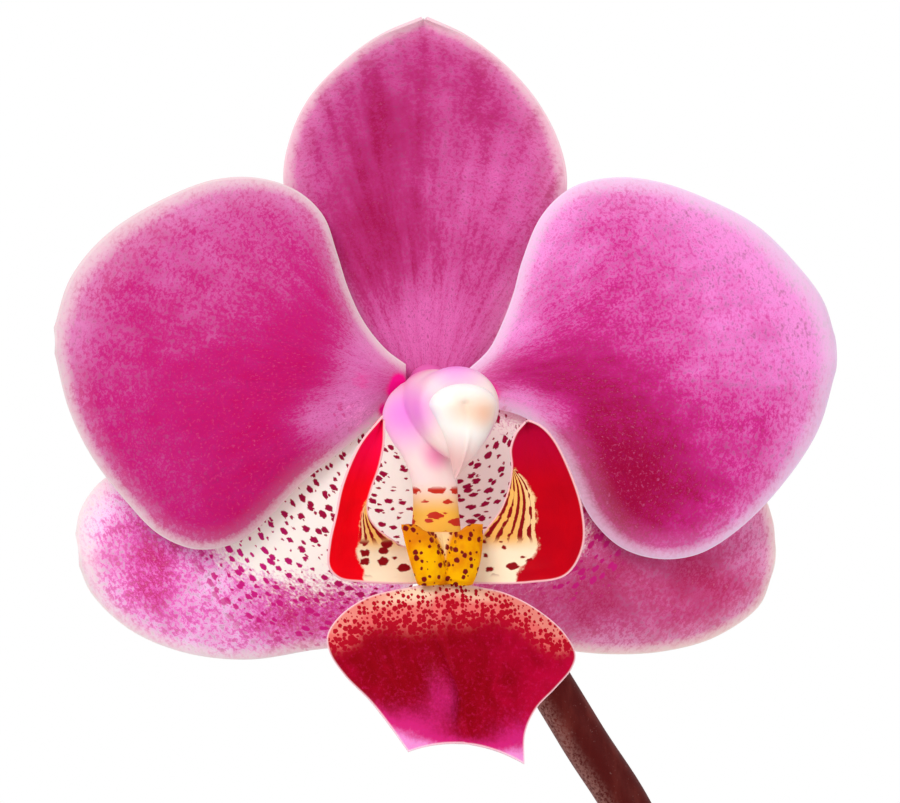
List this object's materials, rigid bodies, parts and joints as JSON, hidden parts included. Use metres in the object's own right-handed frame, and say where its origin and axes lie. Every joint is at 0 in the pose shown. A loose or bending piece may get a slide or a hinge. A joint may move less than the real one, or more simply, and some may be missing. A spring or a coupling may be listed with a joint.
{
  "type": "potted orchid",
  "caption": "Moth orchid in bloom: an arching flower spike with an open magenta flower over strap leaves, roots and bark in a plain round tapered pot",
  "frame": {"origin": "middle of the pot's underside, on the surface that it stands on", "axes": "Z+ up along the pot's axis; Y- is the way that the flower faces; X runs along the two ranks of leaves, with X+ to the right of someone facing the flower"},
  "size_m": [0.3078, 0.123, 0.4576],
  "materials": {
    "pot_glaze": "smooth off-white glaze, soft gloss",
    "bark": "rough matt conifer bark",
    "root": "silvery grey-green, velvety and matt",
    "leaf": "waxy dark green, satin, paler beneath",
    "spike": "very dark purple-brown, satin with a pale bloom",
    "bract": "thin, dry, brown-green scale",
    "pedicel": "smooth, purple shading to green",
    "sepal": "lilac-pink to magenta, mottled, pale edge, crimson spots near the base of the lower pair",
    "petal": "vivid magenta, finely mottled and veined, soft pale edge",
    "lip": "waxy crimson, cream and golden yellow with dark red spots and stripes",
    "column": "waxy lilac to white, yellow with orange bars low down",
    "anther_cap": "waxy cream-white with tan patches",
    "pollen": "waxy golden yellow"
  },
  "bodies": {
    "root": {"pot": "pot_glaze", "potting_bark": "bark", "root_1": "root", "root_2": "root", "root_3": "root", "root_4": "root", "root_5": "root", "bark_chip_1": "bark", "bark_chip_2": "bark", "bark_chip_3": "bark", "bark_chip_4": "bark", "bark_chip_5": "bark", "bark_chip_6": "bark", "bark_chip_7": "bark", "bark_chip_8": "bark", "bark_chip_9": "bark", "bark_chip_10": "bark", "crown_stem": "leaf", "leaf_1": "leaf", "leaf_2": "leaf", "leaf_3": "leaf", "leaf_4": "leaf", "leaf_5": "leaf", "flower_spike": "spike", "spike_bract_1": "bract", "spike_bract_2": "bract", "spike_bract_3": "bract", "floral_bract": "bract", "pedicel": "pedicel", "dorsal_sepal": "sepal", "lateral_sepal_left": "sepal", "lateral_sepal_right": "sepal", "petal_left": "petal", "petal_right": "petal", "lip": "lip", "column": "column", "anther_cap": "anther_cap", "pollinarium": "pollen"}
  },
  "joints": []
}
